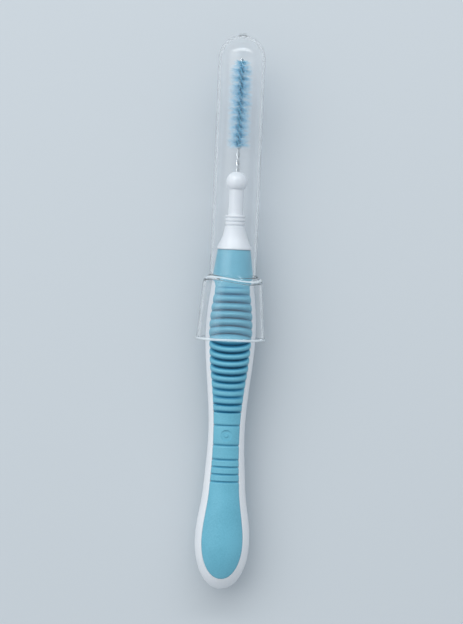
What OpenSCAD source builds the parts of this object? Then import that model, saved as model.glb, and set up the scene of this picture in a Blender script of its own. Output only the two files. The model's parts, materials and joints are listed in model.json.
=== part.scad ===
// Interdental brush with its clear travel cap pushed on, lying face up on a flat surface.
// Lengths are millimetres. A station is a distance along the brush, from the butt towards
// the bristle tip. Every piece is drawn along +Y with its face up, then laid down by stance().

/* [Handle] */
// Width of the butt at its widest
butt_w = 9.7; // [8:0.1:12]
// Thickness of the butt
butt_t = 8.8; // [7:0.1:9.6]
// Station of the widest part of the butt
butt_at = 8.75; // [7:0.25:11]
// Width halfway from the butt to the waist
haunch_w = 7.5; // [6.8:0.1:9]
// Thickness halfway from the butt to the waist
haunch_t = 7.3; // [6.6:0.1:8.6]
// Station halfway from the butt to the waist
haunch_at = 17.9; // [15:0.1:20]
// Width of the waist
waist_w = 6.45; // [5.5:0.05:7.4]
// Thickness of the waist
waist_t = 6.3; // [5.4:0.05:7.2]
// Station of the waist
waist_at = 27.8; // [25:0.1:30]
// Width under the thumb
thumb_w = 8.9; // [8:0.1:11]
// Thickness under the thumb, ribs left out
thumb_t = 7.3; // [6.6:0.1:8.4]
// Station of the widest part under the thumb
thumb_at = 46; // [42:0.1:50]
// Diameter of the shoulder where the cap seats on it
seat_d = 7.2; // [6.6:0.1:7.8]
// Station of the cap's seat on the shoulder
seat_at = 55.2; // [54.9:0.1:57]
// Diameter of the shoulder at the top of the grip
shoulder_d = 5.8; // [5.2:0.1:6.4]
// Length of the round shoulder above the seat
shoulder_len = 5.1; // [4:0.1:7]

/* [Neck] */
// Diameter of the collar where it meets the grip
collar_d = 6.15; // [5.6:0.05:7]
// Height of the collar's straight rim
collar_rim = 0.3; // [0.2:0.05:0.5]
// Length of the collar's taper
collar_len = 3.7; // [2.5:0.1:5]
// Diameter of the rings
ring_d = 3.6; // [3:0.1:4.4]
// Depth of the grooves beside the rings
ring_groove = 0.22; // [0.1:0.02:0.4]
// Pitch of the rings
ring_pitch = 0.67; // [0.5:0.01:0.9]
// Diameter of the neck
neck_d = 2.6; // [2:0.1:2.9]
// Length of the neck
neck_len = 4.8; // [3:0.1:7]
// Radius of the fillet under the ball
ball_fillet = 0.15; // [0.1:0.05:0.2]
// Diameter of the ball that holds the wire
ball_d = 3.8; // [3.2:0.1:4.6]
// Height of the ball, from its flat base
ball_len = 3; // [2.4:0.1:3.6]

/* [Grip] */
// Thickness of the soft skin over the core
skin = 1.2; // [0.8:0.05:1.5]
// Width of the bare white flank seen beside the grip
flank_strip = 0.85; // [0.6:0.05:1.3]
// Width of the bare white rim beside the pad at the butt
butt_strip = 1.15; // [0.7:0.05:1.5]
// Length over which the top end of the flank is rounded
flank_round = 2.4; // [1.6:0.1:3]
// Station of the butt end of the pad
pad_end_at = 2.1; // [1.2:0.1:3]
// Height of the thumb ribs
rib_h = 1.1; // [0.6:0.05:1.2]
// Station of the middle rib, which is lens shaped
lens_at = 44.5; // [43.8:0.1:45]
// Width of the middle rib
lens_w = 2.2; // [1.8:0.05:2.6]
// Pitch of the ribs above the middle rib
upper_pitch = 1.36; // [1.1:0.01:1.4]
// Pitch of the ribs below the middle rib
lower_pitch = 1.31; // [1.1:0.01:1.4]
// Rise of a rib's ends beside the middle rib
rib_bow = 0.95; // [0.4:0.05:1]
// Length above the middle rib in which the ribs straighten out
bow_up = 8.5; // [6:0.1:9.4]
// Length below the middle rib in which the ribs straighten out
bow_down = 14; // [10:0.5:16]
// Depth of the fine lines across the waist
line_depth = 0.25; // [0.1:0.01:0.4]
// Width of a fine line
line_w = 0.5; // [0.3:0.02:0.6]
// Station of the round gate mark
gate_at = 27.5; // [26.5:0.1:28]
// Distance between the two lines that frame the gate mark
gate_frame = 3.5; // [2.6:0.1:3.8]
// Diameter of the gate mark
gate_d = 2; // [1.2:0.1:2.4]
// Depth of the gate mark
gate_depth = 0.2; // [0.1:0.02:0.35]
// Diameter of the stub inside the gate mark
gate_stub_d = 0.7; // [0.3:0.1:1]
// Station of the uppermost line below the gate mark
lines_at = 23.2; // [22.6:0.1:24]
// Pitch of the lines below the gate mark
line_pitch = 1.3; // [1:0.05:1.4]

/* [Wire and bristles] */
// Diameter of the steel wire
wire_d = 0.32; // [0.2:0.01:0.45]
// Length of one full turn of the twisted wire
twist_pitch = 2.83; // [2:0.01:4]
// Length of wire moulded into the neck
wire_held = 11; // [6:0.5:11.5]
// Length of bare wire between the ball and the bristles
stem_len = 4.3; // [2:0.1:8]
// Length of the bristle head
head_len = 15.1; // [10:0.1:18]
// Diameter of the bristle head
head_d = 4.5; // [2:0.1:6]
// Length over which the bristle head tapers at its tip
head_taper = 1.6; // [0.6:0.1:4]
// Length of wire beyond the last bristle
tip_len = 0.6; // [0.5:0.05:1.5]
// Thickness of the row of filaments pinched by the wire
web_t = 0.07; // [0.05:0.005:0.1]
// Width of the row of filaments between the strands of wire
web_w = 0.4; // [0.3:0.01:0.5]
// Thickness of a bristle at its tip
bristle_tip = 0.045; // [0.03:0.005:0.06]

/* [Cap] */
// Wall of the cap
cap_wall = 0.5; // [0.4:0.05:0.8]
// Room between the wire tip and the inside of the dome
dome_room = 3.5; // [1:0.1:8]
// Length of the flared skirt below the seat
skirt_len = 11; // [8:0.1:12]
// Room beside the handle at the mouth
mouth_side_room = 1.1; // [0.4:0.05:2]
// Step from the bore out to the side of the ledge
ledge_step = 1.15; // [0.8:0.05:1.6]
// Drop from the hub of the ledge to its rounded edge
ledge_drop = 0.75; // [0.3:0.05:1.2]
// Height of the wave along the edge of the ledge
ledge_wave = 0.35; // [0:0.05:0.5]
// Radius of the ledge's rounded edge
ledge_round = 0.6; // [0.4:0.05:0.8]
// Height of the bead round the mouth
rim_h = 0.5; // [0.3:0.05:0.8]
// How far the bead stands proud of the skirt
rim_proud = 0.14; // [0.05:0.01:0.3]
// Diameter of the gate nub on the dome
nub_d = 1.2; // [0.6:0.1:2]
// Height of the gate nub
nub_h = 0.3; // [0.1:0.05:0.6]

/* [Clearances] */
// Gap between the soft grip and the core that it is moulded on
mould_gap = 0.02; // [0.01:0.005:0.05]
// Gap round the wire in its hole in the neck
wire_gap = 0.02; // [0.01:0.005:0.05]
// Gap between the wire and the filaments that it pinches
pinch_gap = 0.015; // [0.01:0.005:0.03]
// Radial gap between the cap's bore and its seat on the shoulder
seat_gap = 0.05; // [0.02:0.01:0.15]
// Gap between the ribs and the inside of the skirt
skirt_gap = 0.3; // [0.2:0.05:0.6]

/* [Hidden] */

// Colours
white_plastic = "#e9eef2";
cyan_rubber = "#67b0c6";
steel = "#8d979c";
blue_nylon = "#7fbbe0";
clear_plastic = "#dfe9ee";

// One overrun for every cut
overrun = mould_gap;

// Counts of facets and rows
flank_points = 7;
skin_points = 9;
fine_rows = 4;
smooth_fn = 96;
collar_steps = 8;
fillet_steps = 3;
sleeve_steps = 8;
skirt_fn = 42;
wire_sides = 6;
wire_rings = 10;
turn_rings = 8;
bristle_rows = 200;

// Shapes that have no unit
butt_power = 2.1;
pad_power = 2.1;
edge_power = 2.4;
butt_shares = [0.02, 0.12, 0.32, 0.62, 0.9];
pad_shares = [0.03, 0.1, 0.22, 0.4, 0.6, 0.8];
top_shares = [0.4, 0.7, 0.9, 1];
crest_shares = [0.75, 0.5, 0.35, 0.3, 0.25];
top_crest_shares = [0.5, 0.85];
crown_share = 0.74;
crown_place_share = 0.24;
middle_share = 0.5;
edge_share = 0.22;
spigot_share = 0.93;
closed_share = 0.96;
flank_tip_angle = 4;
lower_ribs = 9;
upper_ribs = 6;
line_count = 4;
ring_count = 3;
collar_curve_share = 0.35;
saddle_turn = 135;
ragged_share = 0.16;
ragged_turn = 137.5;
tip_share = 0.45;

// Share of a ring's pitch at which its groove starts and ends, and at which its edge stands up
ring_shares = [0.25, 0.45, 0.6];
// Shares of the ledge's radius on its outside and inside, and of the bead's height at its corners
ledge_out_share = 0.3;
ledge_in_share = 0.4;
bead_share = 0.3;

// Overlap of each face of the grip with its own sleeve
sleeve_lap = 0.06;

// Room between the top edge of the core's face and the cap's hub
hub_lift = 0.1;

// Width of the flat ring where the skirt springs from the barrel
hub_ring = 0.1;

// Stations above the seat
grip_top_at = seat_at + shoulder_len;
collar_top_at = grip_top_at + collar_rim + collar_len;
rings_top_at = collar_top_at + ring_count * ring_pitch;
ball_at = rings_top_at + neck_len;
ball_top_at = ball_at + ball_len;
bristles_at = ball_top_at + stem_len;
bristles_end_at = bristles_at + head_len;
tip_at = bristles_end_at + tip_len;

// Cap
bore_r = seat_d / 2 + seat_gap;
barrel_r = bore_r + cap_wall;
dome_at = tip_at + dome_room - bore_r;
cap_end_at = dome_at + barrel_r + nub_h;
mouth_at = seat_at - skirt_len;
mouth_r = thumb_w / 2 + mouth_side_room + cap_wall;
mouth_flat = thumb_t / 2 + rib_h + skirt_gap + cap_wall;
ledge_r = bore_r + ledge_step + cap_wall;
ledge_flat = seat_d / 2 + top_crest_shares[0] * rib_h + skirt_gap + cap_wall;
hub_r = bore_r + cap_wall / 2;
hub_at = seat_at + hub_lift + cap_wall;
ledge_at = hub_at - ledge_drop;

// The capped brush rests on the flat of its cap's bead and on its butt
lip_flat = mouth_flat + rim_proud;
lip_at = mouth_at + rim_h * bead_share;
lean = atan((lip_flat - butt_t / 2) / (lip_at - butt_at));
rest_z = butt_t / 2 * cos(lean) - butt_at * sin(lean);
rest_y = -(cap_end_at * cos(lean) + nub_d / 2 * sin(lean)) / 2;

// Wire and bristles
strand_r = wire_d / 2;
strand_place = strand_r + web_t / 2 + pinch_gap;
twist_r = strand_place + strand_r;
wire_root_at = ball_top_at - wire_held;
wire_turn_at = tip_at - twist_r;

// Value at station s of the smooth curve through a table of [station, value]
function rise(t, i) = (t[i + 1][1] - t[i][1]) / (t[i + 1][0] - t[i][0]);
function slope(t, i) =
    i == 0 ? 0
    : i == len(t) - 1 ? rise(t, i - 1)
    : let (a = rise(t, i - 1), b = rise(t, i)) a * b <= 0 ? 0 : 2 * a * b / (a + b);
function span(t, s, i = 0) = i >= len(t) - 2 || s < t[i + 1][0] ? i : span(t, s, i + 1);
function curve(t, s) =
    let (i = span(t, s), h = t[i + 1][0] - t[i][0])
    let (u = min(1, max(0, (s - t[i][0]) / h)), v = 1 - u)
    t[i][1] * v * v * (1 + 2 * u) + t[i + 1][1] * u * u * (1 + 2 * v)
    + h * (slope(t, i) * u * v * v - slope(t, i + 1) * u * u * v);

// Outline of the handle, half width and half thickness
width_table = [
    [butt_at, butt_w], [haunch_at, haunch_w], [waist_at, waist_w],
    [thumb_at, thumb_w], [seat_at, seat_d], [grip_top_at, shoulder_d]
];
depth_table = [
    [butt_at, butt_t], [haunch_at, haunch_t], [waist_at, waist_t],
    [thumb_at, thumb_t], [seat_at, seat_d], [grip_top_at, shoulder_d]
];
function butt_round(s) =
    s >= butt_at ? 1 : pow(1 - pow((butt_at - s) / butt_at, butt_power), 1 / butt_power);
function half_w(s) = curve(width_table, s) / 2 * butt_round(s);
function half_t(s) = curve(depth_table, s) / 2 * butt_round(s);

// Angle, seen along the brush, at which the flank gives way to the grip
function opening(s) =
    s >= butt_at
    ? half_w(s) - curve([[butt_at, butt_strip], [waist_at, flank_strip]], s)
    : (butt_w / 2 - butt_strip)
      * pow(max(0, 1 - pow((butt_at - s) / (butt_at - pad_end_at), pad_power)), 1 / pad_power);
function flank_fade(s) =
    s <= seat_at - flank_round ? 1
    : sqrt(max(0, 1 - pow((s - seat_at + flank_round) / flank_round, 2)));
function flank_angle(s) =
    max(flank_tip_angle, acos(min(1, opening(s) / half_w(s))) * flank_fade(s));

// Rows of the grip: each is a groove or a joint, and the next segment lies above it
function steps_up(from, to, shares) = [for (k = shares) from + (to - from) * k];
pad_top_at = lines_at - (line_count - 1) * line_pitch;
lens_low = lens_at - lens_w / 2;
lens_high = lens_at + lens_w / 2;
ribs_low = lens_low - lower_ribs * lower_pitch;
ribs_high = lens_high + upper_ribs * upper_pitch;
pad_start_at = pad_end_at + mould_gap;
pad_rows = concat([pad_start_at], steps_up(pad_start_at, pad_top_at, pad_shares));
line_rows = [for (k = [0:line_count - 1]) pad_top_at + k * line_pitch];
gate_rows = [gate_at - gate_frame / 2, gate_at + gate_frame / 2];
lower_rows = [for (k = [0:lower_ribs]) ribs_low + k * lower_pitch];
upper_rows = [for (k = [0:upper_ribs]) lens_high + k * upper_pitch];
top_rows = steps_up(ribs_high, seat_at, top_shares);
rows = concat(pad_rows, line_rows, gate_rows, lower_rows, upper_rows, top_rows);
first_line = len(pad_rows);
first_rib = first_line + line_count + 2;
lens_row = first_rib + lower_ribs;
last_rib = lens_row + upper_ribs;

// Height of the crest above row k, and depth of the groove at row k
function crest(k) =
    k < first_rib ? 0
    : k > last_rib ? 0
    : k == last_rib ? 0
    : k >= last_rib - 2 ? rib_h * top_crest_shares[last_rib - 1 - k]
    : k < first_rib + len(crest_shares)
    ? rib_h * crest_shares[len(crest_shares) - 1 - (k - first_rib)]
    : rib_h;
function groove(k) = k >= first_line && k <= first_rib + 1 ? -line_depth : 0;

// Height of the outer face at fine row r of segment k, and its place within the segment
function line_part(k) = min(crown_place_share * 2, line_w / 2 / (rows[k + 1] - rows[k]));
function part_place(k, r) =
    crest(k) > 0 ? [0, crown_place_share, middle_share, 1 - crown_place_share][r]
    : [0, line_part(k), middle_share, 1 - line_part(k)][r];
function part_height(k, r) = r == 0 ? groove(k) : r == 2 ? crest(k) : crown_share * crest(k);

// How far the ends of a row rise above its middle
function bow(s) =
    -rib_bow * min(1, max(-1, (s - lens_at) / (lens_w / 2)))
    * max(0, 1 - abs(s - lens_at) / (s > lens_at ? bow_up : bow_down));

// Point at angle a on the handle's section at station s, drawn in by depth
function on_section(s, a, depth) = [(half_w(s) - depth) * cos(a), s, (half_t(s) - depth) * sin(a)];

// Angle and point at place j across the grip, on the row whose middle is at station s
function across(j) = abs(2 * j / (skin_points - 1) - 1);
function skin_angle(s, j, inset = 0) =
    let (f = flank_angle(s + bow(s)) + inset) f + (180 - 2 * f) * j / (skin_points - 1);
function skin_point(s, j, depth, inset = 0, turn = 0) =
    on_section(s + bow(s) * pow(across(j), 2), turn + skin_angle(s, j, inset), depth);

// Triangles of a strip between two rows of n points; wrap closes the rows into rings
function strip(a, b, n, wrap = false) = [
    for (j = [0:n - (wrap ? 1 : 2)])
        let (q = (j + 1) % n)
        each [[a + j, b + j, b + q], [a + j, b + q, a + q]]
];
function turned(faces) = [for (f = faces) [f[0], f[2], f[1]]];

module along() {
    rotate([-90, 0, 0]) children();
}

module stance() {
    translate([0, rest_y, rest_z]) rotate([lean, 0, 0]) children();
}

// Ring of the core at station s: two flanks on the surface and two floors under the skin
function core_ring(s, depth, shut) =
    let (e = s + bow(s), f = flank_angle(e), g = shut ? f * closed_share : f)
    concat(
        [for (j = [0:flank_points - 1]) on_section(e, -g + 2 * g * j / (flank_points - 1), 0)],
        [for (j = [0:skin_points - 1]) skin_point(s, j, depth)],
        [for (j = [0:flank_points - 1]) on_section(e, 180 - g + 2 * g * j / (flank_points - 1), 0)],
        [for (j = [0:skin_points - 1]) skin_point(s, j, depth, 0, 180)]
    );

// Butt, flanks and the recessed faces that the grip is moulded on
module core_body() {
    n = 2 * (flank_points + skin_points);
    end_rows = [for (k = butt_shares) k * pad_end_at];
    rings = concat(
        [for (s = end_rows) core_ring(s, 0, true)],
        [core_ring(pad_end_at - mould_gap, 0, true)],
        [for (s = rows) core_ring(s, skin, false)]
    );
    count = len(rings);
    points = concat([for (r = rings) each r], [[0, 0, 0], [0, seat_at, 0]]);
    faces = concat(
        [for (i = [0:count - 2]) each turned(strip(i * n, (i + 1) * n, n, true))],
        [for (j = [0:n - 1]) [(j + 1) % n, j, count * n]],
        [for (j = [0:n - 1]) [(count - 1) * n + j, (count - 1) * n + (j + 1) % n, count * n + 1]]
    );
    polyhedron(points, faces, convexity = 6);
}

// Half outline of the collar, the rings and the neck, from the axis outwards
spigot_r = (seat_d / 2 - skin) * spigot_share;
function collar_r(u) =
    collar_d / 2 + (ring_d - collar_d) / 2 * (u + collar_curve_share * sin(180 * u) / 2);
module neck_outline() {
    ball_center = ball_top_at - ball_d / 2;
    polygon(concat(
        [[0, seat_at - skin], [spigot_r, seat_at - skin], [spigot_r, grip_top_at]],
        [[collar_d / 2, grip_top_at]],
        [for (k = [0:collar_steps])
            [collar_r(k / collar_steps), grip_top_at + collar_rim + collar_len * k / collar_steps]],
        [for (k = [0:ring_count - 1]) each [
            [ring_d / 2 - ring_groove, collar_top_at + (k + ring_shares[0]) * ring_pitch],
            [ring_d / 2 - ring_groove, collar_top_at + (k + ring_shares[1]) * ring_pitch],
            [ring_d / 2, collar_top_at + (k + ring_shares[2]) * ring_pitch],
            [ring_d / 2, collar_top_at + (k + 1) * ring_pitch]
        ]],
        [[neck_d / 2, rings_top_at]],
        [for (k = [0:fillet_steps])
            let (a = 90 * k / fillet_steps)
            [neck_d / 2 + ball_fillet * (1 - cos(a)), ball_at - ball_fillet * (1 - sin(a))]],
        [[neck_d / 2 + ball_fillet, ball_center], [0, ball_center]]
    ));
}

module neck_and_ball() {
    difference() {
        union() {
            rotate_extrude($fn = smooth_fn) neck_outline();
            translate([0, 0, ball_top_at - ball_d / 2]) intersection() {
                sphere(d = ball_d, $fn = smooth_fn);
                translate([0, 0, ball_d / 2 - ball_len])
                    cylinder(d = 2 * ball_d, h = ball_d, $fn = smooth_fn);
            }
        }
        translate([0, 0, wire_root_at])
            cylinder(r = twist_r + wire_gap, h = wire_held + overrun, $fn = smooth_fn);
    }
}

module handle_core() {
    color(white_plastic) stance() {
        core_body();
        along() neck_and_ball();
    }
}

// One face of the grip: ribbed outside, smooth inside, from the butt up to the seat
module grip_panel() {
    inset = mould_gap / seat_d * 360;
    segments = len(rows) - 1;
    n = skin_points;
    skin_rows = [for (k = [0:segments]) rows[k] + (k == segments ? mould_gap + sleeve_lap : 0)];
    base = [for (s = skin_rows) [for (j = [0:n - 1]) skin_point(s, j, 0, inset)]];
    outer = [
        for (k = [0:segments])
            for (r = [0:k == segments ? 0 : fine_rows - 1])
                let (u = k == segments ? 0 : part_place(k, r), h = k == segments ? 0 : part_height(k, r))
                for (j = [0:n - 1])
                    let (p = base[k][j], q = base[min(k + 1, segments)][j], a = skin_angle(rows[k], j))
                    let (fade = 1 - (1 - edge_share) * pow(across(j), edge_power))
                    p + (q - p) * u + h * fade * [cos(a), 0, sin(a)]
    ];
    inner = [for (s = skin_rows) for (j = [0:n - 1]) skin_point(s, j, skin - mould_gap, inset)];
    back = len(outer);
    fine = segments * fine_rows;
    sides = [
        for (k = [0:segments - 1])
            let (a = back + k * n, b = back + (k + 1) * n, m = k * fine_rows * n)
            each concat(
                [for (i = [0:fine_rows - 1]) [a, m + (i + 1) * n, m + i * n]],
                [[a, b, m + fine_rows * n]],
                [for (i = [0:fine_rows - 1]) [a + n - 1, m + i * n + n - 1, m + (i + 1) * n + n - 1]],
                [[a + n - 1, m + (fine_rows + 1) * n - 1, b + n - 1]]
            )
    ];
    faces = concat(
        [for (i = [0:fine - 1]) each strip(i * n, (i + 1) * n, n)],
        [for (k = [0:segments - 1]) each turned(strip(back + k * n, back + (k + 1) * n, n))],
        turned(strip(0, back, n)),
        strip(fine * n, back + segments * n, n),
        sides
    );
    polyhedron(concat(outer, inner), turned(faces), convexity = 10);
}

// Round sleeve of the grip that wraps the shoulder
module grip_sleeve() {
    bottom = seat_at + mould_gap;
    top = grip_top_at - mould_gap;
    rotate_extrude($fn = smooth_fn) polygon(concat(
        [[spigot_r + mould_gap, bottom], [seat_d / 2 + mould_gap, bottom]],
        [for (k = [1:sleeve_steps])
            let (s = bottom + (top - bottom) * k / sleeve_steps) [half_w(s), s]],
        [[spigot_r + mould_gap, top]]
    ));
}

// Round pocket that the mould's gate leaves in the face of the grip, with its stub in the middle
module gate_mark() {
    translate([0, gate_at, half_t(gate_at) - gate_depth]) difference() {
        cylinder(d = gate_d, h = skin, $fn = smooth_fn);
        cylinder(d = gate_stub_d, h = gate_depth, $fn = smooth_fn);
    }
}

module soft_grip() {
    color(cyan_rubber) stance() {
        difference() {
            grip_panel();
            gate_mark();
        }
        mirror([0, 0, 1]) grip_panel();
        along() grip_sleeve();
    }
}

// Turn of the twist at a station
function twist(s) = 360 * (s - bristles_at) / twist_pitch;

// Middle line of the hairpin: one strand up, round the tip and down the other strand
wire_steps = ceil((wire_turn_at - wire_root_at) / twist_pitch * wire_rings);
function strand_point(s, turn) =
    [strand_place * cos(twist(s) + turn), s, strand_place * sin(twist(s) + turn)];
function strand_out(s, turn) = [cos(twist(s) + turn), 0, sin(twist(s) + turn)];
function strand_station(i) = wire_root_at + (wire_turn_at - wire_root_at) * i / wire_steps;
hairpin = concat(
    [for (i = [0:wire_steps]) strand_point(strand_station(i), 0)],
    [for (k = [1:turn_rings - 1])
        let (a = 180 * k / turn_rings)
        [0, wire_turn_at, 0] + strand_place * (cos(a) * strand_out(wire_turn_at, 0) + [0, sin(a), 0])],
    [for (i = [wire_steps:-1:0]) strand_point(strand_station(i), 180)]
);
hairpin_out = concat(
    [for (i = [0:wire_steps]) strand_out(strand_station(i), 0)],
    [for (k = [1:turn_rings - 1])
        let (a = 180 * k / turn_rings) cos(a) * strand_out(wire_turn_at, 0) + [0, sin(a), 0]],
    [for (i = [wire_steps:-1:0]) strand_out(strand_station(i), 180)]
);
function unit(v) = v / norm(v);
least_gap = min([
    for (i = [0:wire_steps]) norm(hairpin[i] - hairpin[len(hairpin) - 1 - i]) - wire_d
]);
echo(least_gap_between_the_strands = least_gap);

module twisted_wire() {
    n = wire_sides;
    last = len(hairpin) - 1;
    points = [
        for (i = [0:last])
            let (t = unit(hairpin[min(i + 1, last)] - hairpin[max(i - 1, 0)]))
            let (out = unit(hairpin_out[i] - (hairpin_out[i] * t) * t), side = cross(t, out))
            for (k = [0:n - 1]) hairpin[i] + strand_r * (cos(360 * k / n) * out + sin(360 * k / n) * side)
    ];
    faces = concat(
        [for (i = [0:last - 1]) each strip(i * n, (i + 1) * n, n, true)],
        [for (k = [1:n - 2]) [0, k, k + 1]],
        [for (k = [1:n - 2]) [last * n, last * n + k + 1, last * n + k]]
    );
    color(steel) stance() polyhedron(points, faces, convexity = 10);
}

// Length of bristle k from the axis: ragged, and shorter towards the tip of the head
function bristle_reach(k, side) =
    let (left = (bristle_rows - k) / bristle_rows * head_len)
    head_d / 2 * (1 - ragged_share * abs(sin(ragged_turn * (2 * k + side))))
    * (left > head_taper ? 1 : 1 - tip_share * pow(1 - left / head_taper, 2));

// The filaments: a thin row between the strands of wire, with a bristle out of each edge of each step
module bristles() {
    row_len = head_len / bristle_rows;
    along_web = function(a) [-sin(a), 0, cos(a)];
    off_web = function(a) [cos(a), 0, sin(a)];
    web = [
        for (i = [0:bristle_rows])
            let (s = bristles_at + i * row_len)
            let (w = along_web(twist(s)), o = off_web(twist(s)))
            for (c = [[1, 1], [1, -1], [-1, -1], [-1, 1]])
                [0, s, 0] + w * c[0] * web_w / 2 + o * c[1] * web_t / 2
    ];
    tips = [
        for (i = [0:bristle_rows - 1])
            let (s = bristles_at + (i + middle_share) * row_len)
            let (w = along_web(twist(s)), o = off_web(twist(s)))
            for (side = [1, -1])
                for (c = [[1, -1], [-1, -1], [-1, 1], [1, 1]])
                    [0, s, 0] + w * side * bristle_reach(i, side)
                    + (o * c[0] * side + [0, c[1], 0]) * bristle_tip / 2
    ];
    t0 = len(web);
    faces = concat(
        [[0, 2, 1], [0, 3, 2]],
        [let (m = bristle_rows * 4) each [[m, m + 1, m + 2], [m, m + 2, m + 3]]],
        [for (i = [0:bristle_rows - 1])
            let (m = 4 * i)
            each [
                [m + 1, m + 6, m + 5], [m + 1, m + 2, m + 6],
                [m + 3, m + 4, m + 7], [m + 3, m, m + 4]
            ]],
        [for (i = [0:bristle_rows - 1]) for (side = [0, 1])
            let (m = 4 * i, t = t0 + 8 * i + 4 * side)
            let (b = side == 0 ? [m, m + 1, m + 5, m + 4] : [m + 2, m + 3, m + 7, m + 6])
            each concat(
                [for (c = [0:3]) let (d = (c + 1) % 4) each [[b[c], b[d], t + d], [b[c], t + d, t + c]]],
                [[t, t + 1, t + 2], [t, t + 2, t + 3]]
            )]
    );
    color(blue_nylon) stance() polyhedron(concat(web, tips), faces, convexity = 10);
}

// Round barrel of the cap with its dome and gate nub
module cap_barrel() {
    difference() {
        union() {
            translate([0, 0, seat_at]) cylinder(r = barrel_r, h = dome_at - seat_at, $fn = smooth_fn);
            translate([0, 0, dome_at]) sphere(r = barrel_r, $fn = smooth_fn);
            translate([0, 0, dome_at]) cylinder(d = nub_d, h = barrel_r + nub_h, $fn = smooth_fn);
        }
        translate([0, 0, seat_at - overrun])
            cylinder(r = bore_r, h = dome_at - seat_at + overrun, $fn = smooth_fn);
        translate([0, 0, dome_at]) sphere(r = bore_r, $fn = smooth_fn);
    }
}

// Flared skirt, round with a flat in front and behind, and with a wave along its ledge
module cap_skirt() {
    n = skirt_fn;
    // Each stop: station, radius, distance of the flats from the axis, share of the wave
    out = ledge_round * ledge_out_share;
    in = cap_wall + ledge_round * ledge_in_share;
    bead = rim_h * bead_share;
    wall_loop = [
        [hub_at, hub_r, hub_r, 0],
        [hub_at, barrel_r + hub_ring, barrel_r + hub_ring, 0],
        [ledge_at + out, ledge_r - ledge_round, ledge_flat - ledge_round, 1],
        [ledge_at, ledge_r - out, ledge_flat - out, 1],
        [ledge_at - ledge_round, ledge_r, ledge_flat, 1],
        [(ledge_at + mouth_at) / 2, (ledge_r + mouth_r) / 2, (ledge_flat + mouth_flat) / 2, 0],
        [mouth_at + rim_h, mouth_r, mouth_flat, 0],
        [mouth_at + rim_h - bead, mouth_r + rim_proud, lip_flat, 0],
        [lip_at, mouth_r + rim_proud, lip_flat, 0],
        [mouth_at, mouth_r, mouth_flat, 0],
        [mouth_at, mouth_r - cap_wall, mouth_flat - cap_wall, 0],
        [(ledge_at + mouth_at) / 2, (ledge_r + mouth_r) / 2 - cap_wall,
            (ledge_flat + mouth_flat) / 2 - cap_wall, 0],
        [ledge_at - ledge_round, ledge_r - cap_wall, ledge_flat - cap_wall, 1],
        [ledge_at - cap_wall, ledge_r - in, ledge_flat - in, 1],
        [hub_at - cap_wall, hub_r, hub_r, 0]
    ];
    stops = len(wall_loop);
    points = [
        for (w = wall_loop) for (k = [0:n - 1])
            let (a = 360 * k / n, wave = w[3] * ledge_wave * cos(2 * (a - saddle_turn)))
            [w[1] * cos(a), w[0] + wave, max(-w[2], min(w[2], w[1] * sin(a)))]
    ];
    faces = [for (i = [0:stops - 1]) each strip(i * n, (i + 1) % stops * n, n, true)];
    polyhedron(points, faces, convexity = 6);
}

module cap() {
    color(clear_plastic, 0.35) stance() {
        along() cap_barrel();
        cap_skirt();
    }
}

handle_core();
soft_grip();
twisted_wire();
bristles();
cap();
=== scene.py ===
import json
import math
import random

import bmesh
import bpy
from mathutils import Matrix, Vector


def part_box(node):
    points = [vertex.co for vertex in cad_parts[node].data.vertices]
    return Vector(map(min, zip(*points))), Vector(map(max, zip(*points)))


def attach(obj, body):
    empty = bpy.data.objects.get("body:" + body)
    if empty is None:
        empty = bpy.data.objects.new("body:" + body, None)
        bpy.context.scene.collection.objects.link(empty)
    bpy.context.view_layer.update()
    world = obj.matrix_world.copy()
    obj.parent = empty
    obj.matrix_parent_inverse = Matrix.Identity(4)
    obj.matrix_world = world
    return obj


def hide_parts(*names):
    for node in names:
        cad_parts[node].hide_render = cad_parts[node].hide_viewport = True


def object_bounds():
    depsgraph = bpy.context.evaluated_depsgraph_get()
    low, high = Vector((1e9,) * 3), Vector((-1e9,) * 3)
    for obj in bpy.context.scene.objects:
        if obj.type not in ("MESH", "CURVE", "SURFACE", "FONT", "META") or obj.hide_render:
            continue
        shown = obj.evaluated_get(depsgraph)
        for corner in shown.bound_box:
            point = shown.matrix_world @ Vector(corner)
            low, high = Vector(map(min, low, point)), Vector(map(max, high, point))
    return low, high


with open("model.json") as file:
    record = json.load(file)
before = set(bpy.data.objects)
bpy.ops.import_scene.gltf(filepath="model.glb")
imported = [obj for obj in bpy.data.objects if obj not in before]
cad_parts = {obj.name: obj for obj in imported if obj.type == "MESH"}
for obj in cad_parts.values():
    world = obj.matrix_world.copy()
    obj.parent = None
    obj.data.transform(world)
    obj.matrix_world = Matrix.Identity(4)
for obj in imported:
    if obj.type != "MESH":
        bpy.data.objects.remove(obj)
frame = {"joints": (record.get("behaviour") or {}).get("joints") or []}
cad_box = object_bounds()

# Pieces are shaped in millimetres along +Y, with the face up, and then laid down in metres.
# A station is a distance along the brush, from the butt towards the bristle tip.
MM = 0.001

# Handle
BUTT_W, BUTT_T, BUTT_AT = 9.7, 8.8, 8.75
HAUNCH_W, HAUNCH_T, HAUNCH_AT = 7.5, 7.3, 17.9
WAIST_W, WAIST_T, WAIST_AT = 6.45, 6.3, 27.8
THUMB_W, THUMB_T, THUMB_AT = 8.9, 7.3, 46.0
SEAT_D, SEAT_AT = 7.2, 55.2
SHOULDER_D, SHOULDER_LEN = 5.8, 5.1
BUTT_POWER, PAD_POWER, EDGE_POWER = 2.1, 2.1, 2.4

# Neck
COLLAR_D, COLLAR_RIM, COLLAR_LEN = 6.15, 0.3, 3.7
RING_D, RING_GROOVE, RING_PITCH, RING_COUNT = 3.6, 0.22, 0.67, 3
NECK_D, NECK_LEN = 2.6, 4.8
BALL_D, BALL_LEN, BALL_FILLET = 3.8, 3.0, 0.15

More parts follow.
